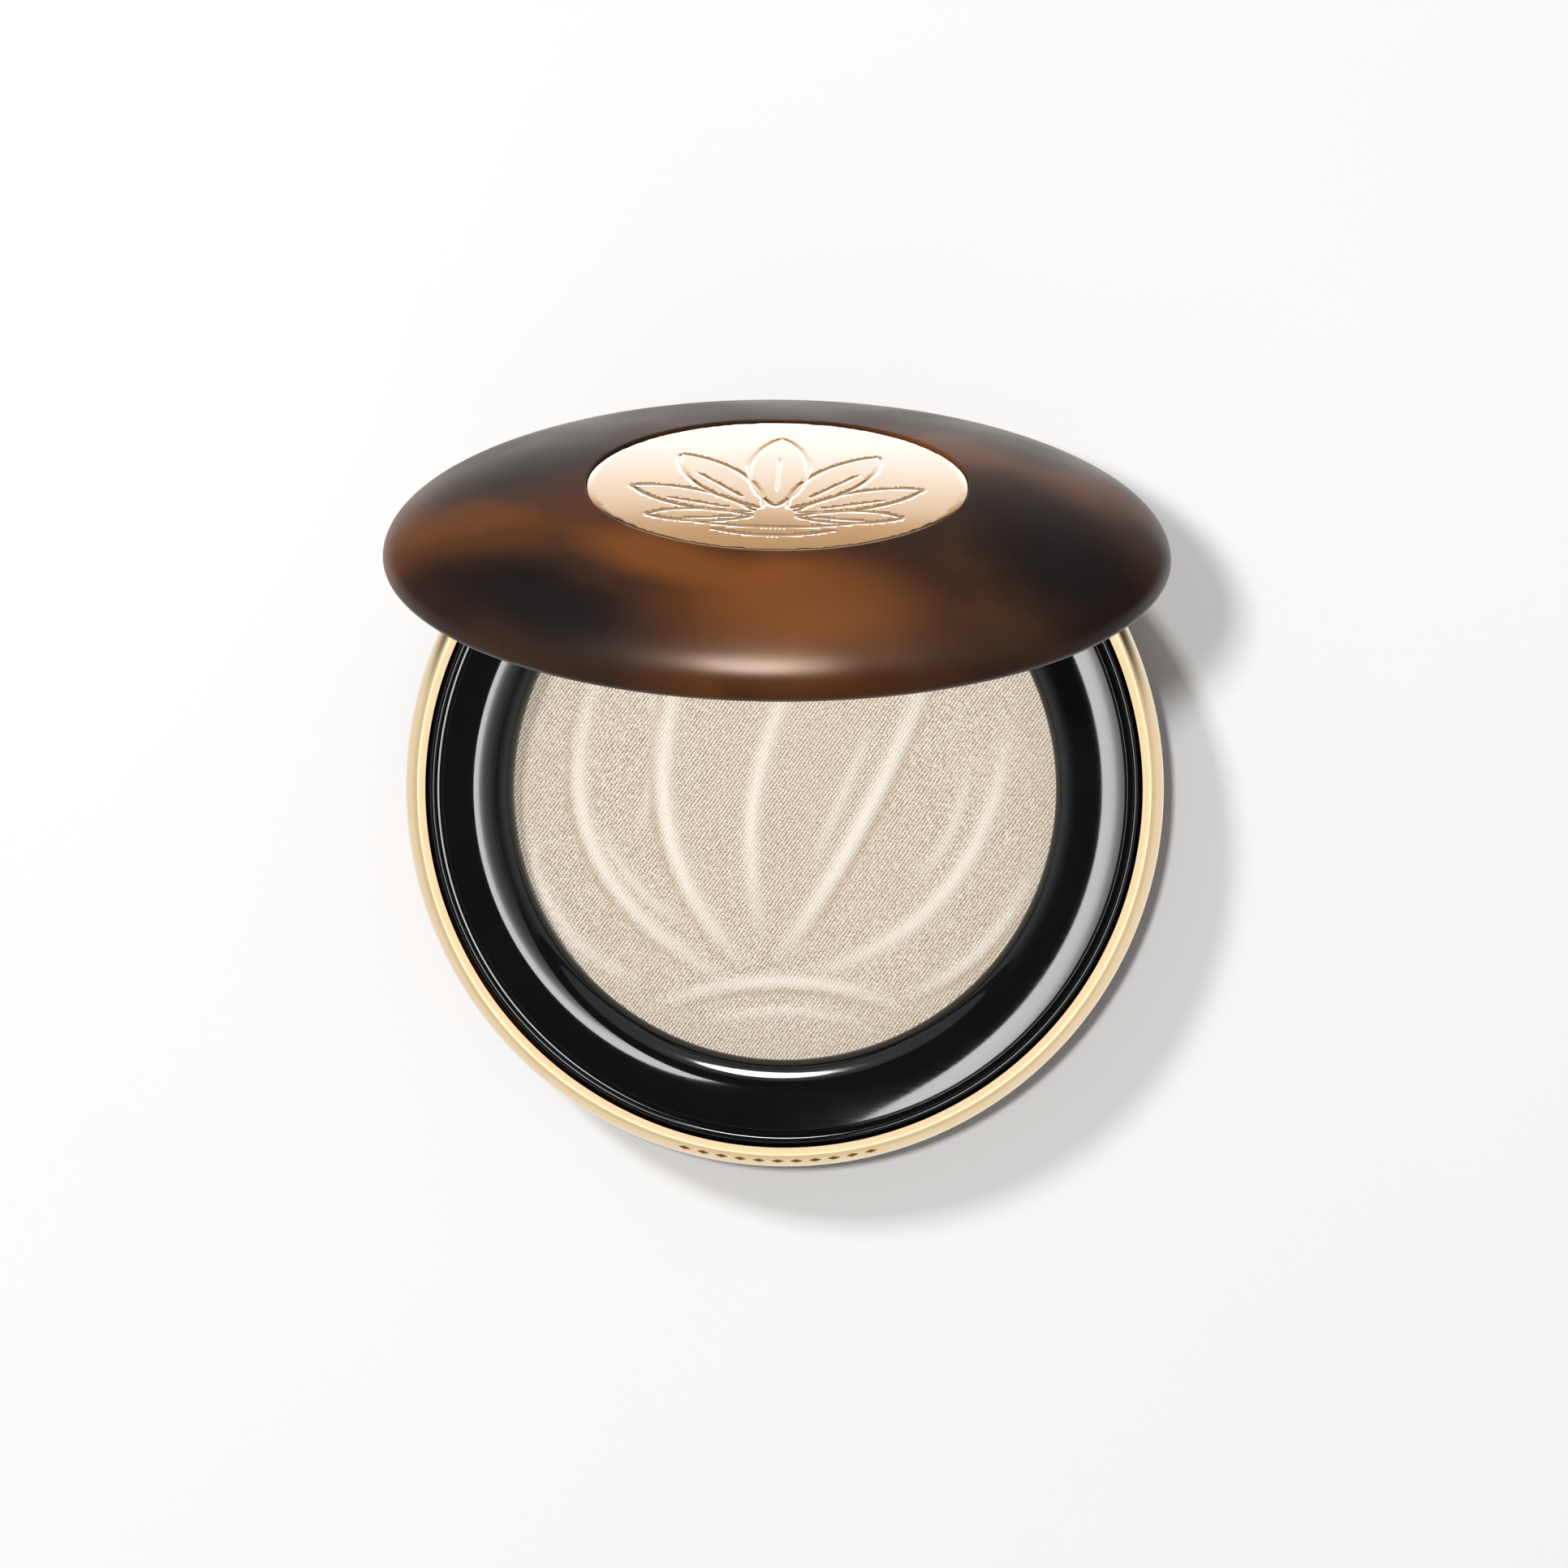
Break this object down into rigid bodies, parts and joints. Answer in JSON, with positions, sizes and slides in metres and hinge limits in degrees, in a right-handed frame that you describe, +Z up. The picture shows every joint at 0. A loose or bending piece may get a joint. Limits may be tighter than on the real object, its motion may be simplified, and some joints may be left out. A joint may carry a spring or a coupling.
{
  "type": "powder compact",
  "caption": "Round powder compact with a domed lid on a rear pin hinge, a mirror inside the lid and a pressed powder pan in the base.",
  "frame": {"origin": "middle of the flat underside that the compact stands on", "axes": "+Z up; -Y is the front where the lid lifts, +Y is the hinge side, +X to the right seen from the front"},
  "size_m": [0.078, 0.079, 0.0818],
  "materials": {
    "tortoiseshell": "satin-gloss tortoiseshell plastic, blurred amber and near-black patches",
    "label": "matt blank label film",
    "steel": "plain steel",
    "tape": "double-sided adhesive film",
    "pan_metal": "drawn aluminium",
    "powder": "pressed pearly powder with a fine woven press mark",
    "black_gloss": "high-gloss black plastic",
    "gold": "polished pale gold metallising",
    "magnet": "nickel-plated magnet",
    "medallion_metal": "polished champagne gold with engraved lines",
    "mirror_glass": "silvered glass",
    "acetal": "natural acetal"
  },
  "bodies": {
    "base": {"base_shell": "tortoiseshell", "base_label": "label", "ballast_plate": "steel", "pan_tape": "tape", "powder_pan": "pan_metal", "powder_cake": "powder", "base_frame": "black_gloss", "gold_band": "gold", "base_magnets": "magnet", "hinge_pin": "steel"},
    "lid": {"lid_shell": "tortoiseshell", "medallion": "medallion_metal", "medallion_tape": "tape", "lid_frame": "black_gloss", "mirror": "mirror_glass", "mirror_tape": "tape", "lid_magnets": "magnet", "hinge_sleeves": "acetal"}
  },
  "joints": [
    {"name": "lid_hinge", "type": "hinge", "parent": "base", "child": "lid", "pos_m": [0, 0.0362, 0.01035], "axis": [-1, 0, 0], "range_deg": [-71, 25]}
  ]
}
